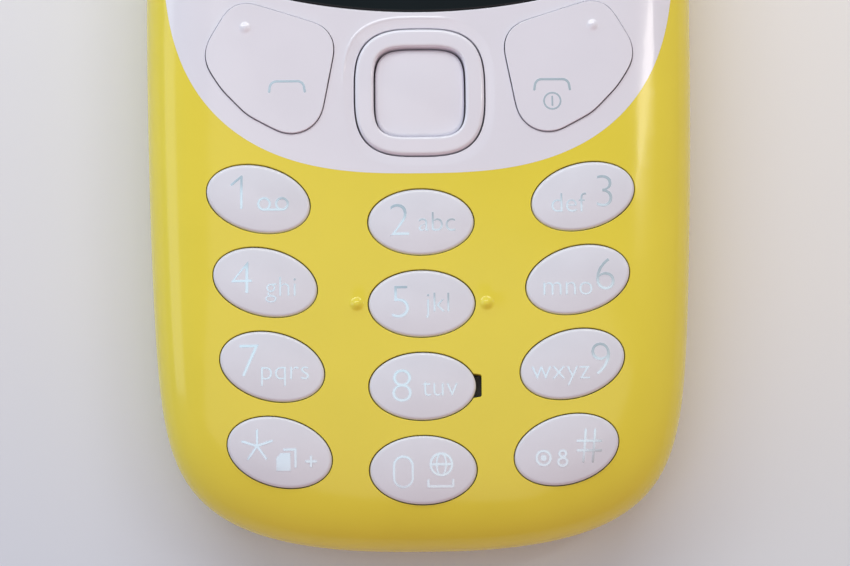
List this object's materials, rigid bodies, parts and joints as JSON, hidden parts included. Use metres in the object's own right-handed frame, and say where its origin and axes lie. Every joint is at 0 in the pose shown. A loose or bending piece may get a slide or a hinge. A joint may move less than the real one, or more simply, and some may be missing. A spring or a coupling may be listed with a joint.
{
  "type": "feature phone",
  "caption": "Candybar feature phone lying on its back, with oval number keys, a square navigation ring, a display window and a snap-off rear cover over its battery.",
  "frame": {"origin": "centre of the flat back, on the surface the phone lies on", "axes": "+Z out of the front, +Y towards the earpiece end, +X right as seen from the front"},
  "size_m": [0.051, 0.1156, 0.0127],
  "materials": {
    "yellow_plastic": "high-gloss moulded yellow plastic",
    "white_plastic": "high-gloss white plastic with a cool pearl tint",
    "display_glass": "clear hard-coated window with a dark border",
    "bezel_metal": "bright rim",
    "dark_mesh": "fine dark mesh",
    "dark_plastic": "dark glass-filled plastic",
    "board": "green solder mask",
    "steel": "tin-plated sheet",
    "connector_plastic": "ivory moulded plastic",
    "lcd_glass": "dark display panel",
    "foam": "black foam and rubber",
    "film": "amber film",
    "silicone": "clear grey silicone",
    "gold": "gold plate",
    "battery_case": "wrapped aluminium can"
  },
  "bodies": {
    "rear_cover": {"rear_cover": "yellow_plastic", "camera_bezel": "bezel_metal", "camera_window": "display_glass", "speaker_mesh": "dark_mesh"},
    "handset": {"front_cover": "yellow_plastic", "upper_fascia": "white_plastic", "display_window": "display_glass", "earpiece_mesh": "dark_mesh", "chassis": "dark_plastic", "battery_contacts": "dark_plastic", "audio_jack": "dark_plastic", "loudspeaker": "dark_plastic", "camera_module": "dark_plastic", "board_chips": "dark_plastic", "main_board": "board", "shield_cans": "steel", "sim_holder": "steel", "memory_card_holder": "steel", "usb_socket": "steel", "vibration_motor": "steel", "screws": "steel", "earpiece_receiver": "steel", "board_connector": "connector_plastic", "backlight": "connector_plastic", "keypad_leds": "connector_plastic", "lcd_panel": "lcd_glass", "window_gasket": "foam", "speaker_gasket": "foam", "microphone_boot": "foam", "display_flex": "film", "dome_film": "film", "antenna": "film", "keypad_mat": "silicone", "key_domes": "gold", "microphone": "gold"},
    "battery": {"battery": "battery_case"},
    "key_1": {"key_1": "white_plastic"},
    "key_2": {"key_2": "white_plastic"},
    "key_3": {"key_3": "white_plastic"},
    "key_4": {"key_4": "white_plastic"},
    "key_5": {"key_5": "white_plastic"},
    "key_6": {"key_6": "white_plastic"},
    "key_7": {"key_7": "white_plastic"},
    "key_8": {"key_8": "white_plastic"},
    "key_9": {"key_9": "white_plastic"},
    "key_star": {"key_star": "white_plastic"},
    "key_0": {"key_0": "white_plastic"},
    "key_hash": {"key_hash": "white_plastic"},
    "left_function_key": {"left_function_key": "white_plastic"},
    "right_function_key": {"right_function_key": "white_plastic"},
    "nav_rocker": {"nav_rocker": "connector_plastic"},
    "nav_ring": {"nav_ring": "white_plastic"},
    "select_key": {"select_key": "white_plastic"},
    "vibration_weight": {"vibration_weight": "steel"}
  },
  "joints": [
    {"name": "rear_cover_release", "type": "slide", "parent": "rear_cover", "child": "handset", "axis": [0, 0, 1], "range_m": [0, 0.024]},
    {"name": "battery_lift", "type": "slide", "parent": "handset", "child": "battery", "axis": [0, 0, -1], "range_m": [0, 0.012]},
    {"name": "key_1_press", "type": "slide", "parent": "handset", "child": "key_1", "axis": [0, 0, -1], "range_m": [0, 0.00025], "stiffness_N_per_m": 4000, "deforming": ["keypad_mat"]},
    {"name": "key_2_press", "type": "slide", "parent": "handset", "child": "key_2", "axis": [0, 0, -1], "range_m": [0, 0.00025], "stiffness_N_per_m": 4000, "deforming": ["keypad_mat"]},
    {"name": "key_3_press", "type": "slide", "parent": "handset", "child": "key_3", "axis": [0, 0, -1], "range_m": [0, 0.00025], "stiffness_N_per_m": 4000, "deforming": ["keypad_mat"]},
    {"name": "key_4_press", "type": "slide", "parent": "handset", "child": "key_4", "axis": [0, 0, -1], "range_m": [0, 0.00025], "stiffness_N_per_m": 4000, "deforming": ["keypad_mat"]},
    {"name": "key_5_press", "type": "slide", "parent": "handset", "child": "key_5", "axis": [0, 0, -1], "range_m": [0, 0.00025], "stiffness_N_per_m": 4000, "deforming": ["keypad_mat"]},
    {"name": "key_6_press", "type": "slide", "parent": "handset", "child": "key_6", "axis": [0, 0, -1], "range_m": [0, 0.00025], "stiffness_N_per_m": 4000, "deforming": ["keypad_mat"]},
    {"name": "key_7_press", "type": "slide", "parent": "handset", "child": "key_7", "axis": [0, 0, -1], "range_m": [0, 0.00025], "stiffness_N_per_m": 4000, "deforming": ["keypad_mat"]},
    {"name": "key_8_press", "type": "slide", "parent": "handset", "child": "key_8", "axis": [0, 0, -1], "range_m": [0, 0.00025], "stiffness_N_per_m": 4000, "deforming": ["keypad_mat"]},
    {"name": "key_9_press", "type": "slide", "parent": "handset", "child": "key_9", "axis": [0, 0, -1], "range_m": [0, 0.00025], "stiffness_N_per_m": 4000, "deforming": ["keypad_mat"]},
    {"name": "key_star_press", "type": "slide", "parent": "handset", "child": "key_star", "axis": [0, 0, -1], "range_m": [0, 0.00025], "stiffness_N_per_m": 4000, "deforming": ["keypad_mat"]},
    {"name": "key_0_press", "type": "slide", "parent": "handset", "child": "key_0", "axis": [0, 0, -1], "range_m": [0, 0.00025], "stiffness_N_per_m": 4000, "deforming": ["keypad_mat"]},
    {"name": "key_hash_press", "type": "slide", "parent": "handset", "child": "key_hash", "axis": [0, 0, -1], "range_m": [0, 0.00025], "stiffness_N_per_m": 4000, "deforming": ["keypad_mat"]},
    {"name": "select_key_press", "type": "slide", "parent": "handset", "child": "select_key", "axis": [0, 0, -1], "range_m": [0, 0.00025], "stiffness_N_per_m": 4000, "deforming": ["keypad_mat"]},
    {"name": "left_function_key_rock", "type": "hinge", "parent": "handset", "child": "left_function_key", "pos_m": [-0.01351, -0.01458, 0.0084], "axis": [0.8584, 0.513, 0], "range_deg": [-0.9, 0.9], "stiffness_Nm_per_rad": 0.3, "deforming": ["keypad_mat"]},
    {"name": "right_function_key_rock", "type": "hinge", "parent": "handset", "child": "right_function_key", "pos_m": [0.01351, -0.01458, 0.0084], "axis": [0.8584, -0.513, 0], "range_deg": [-0.9, 0.9], "stiffness_Nm_per_rad": 0.3, "deforming": ["keypad_mat"]},
    {"name": "nav_pitch", "type": "hinge", "parent": "handset", "child": "nav_rocker", "pos_m": [0, -0.01658, 0.0084], "axis": [1, 0, 0], "range_deg": [-1.5, 1.5], "stiffness_Nm_per_rad": 0.3, "deforming": ["keypad_mat"]},
    {"name": "nav_roll", "type": "hinge", "parent": "nav_rocker", "child": "nav_ring", "pos_m": [0, -0.01658, 0.0084], "axis": [0, 1, 0], "range_deg": [-1.5, 1.5], "stiffness_Nm_per_rad": 0.3},
    {"name": "vibration_spin", "type": "hinge", "parent": "handset", "child": "vibration_weight", "pos_m": [-0.0128, -0.0484, 0.0039], "axis": [1, 0, 0], "continuous": true}
  ],
  "couplings": [
    {"joint": "battery_lift", "follows": "rear_cover_release", "ratio": 0.5}
  ]
}
